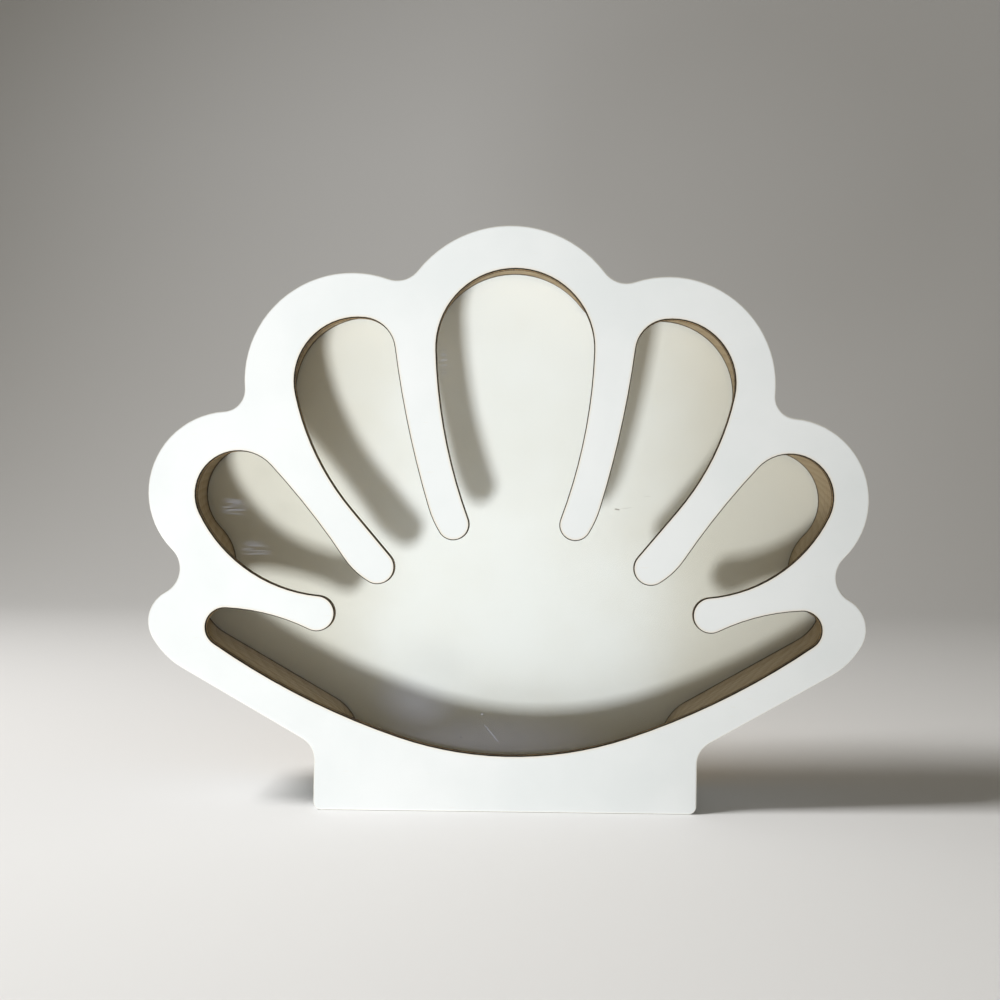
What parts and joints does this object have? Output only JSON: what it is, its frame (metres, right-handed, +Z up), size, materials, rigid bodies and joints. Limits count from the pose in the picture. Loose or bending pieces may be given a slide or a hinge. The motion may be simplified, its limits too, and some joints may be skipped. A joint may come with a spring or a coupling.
{
  "type": "seashell display case",
  "caption": "Free-standing shell-shaped shadow box with a fingered shell window, a clear pane and a magnet-held back panel that pulls off.",
  "frame": {"origin": "middle of the foot's underside, half way across the foot and half way through the depth", "axes": "+Z up; +X to the right as seen from the front; the window faces -Y and the back panel pulls off along +Y"},
  "size_m": [0.301, 0.041, 0.245],
  "materials": {
    "painted_panel": "satin white paint on thin plywood, cut edges browned by the laser",
    "clear_acrylic": "clear cast acrylic sheet, lightly scratched",
    "ring_wood": "board painted white outside, raw tan inside",
    "dowel_wood": "raw beech",
    "magnet_nickel": "nickel plate",
    "back_board": "cream board, matt"
  },
  "bodies": {
    "case": {"front_panel": "painted_panel", "clear_pane": "clear_acrylic", "ring_front_board": "ring_wood", "ring_rear_board": "ring_wood", "ring_dowels": "dowel_wood", "ring_magnets": "magnet_nickel"},
    "back": {"back_panel": "back_board", "back_panel_magnets": "magnet_nickel"}
  },
  "joints": [
    {"name": "back_panel_pull", "type": "slide", "parent": "case", "child": "back", "axis": [0, 1, 0], "range_m": [0, 0.06]}
  ]
}
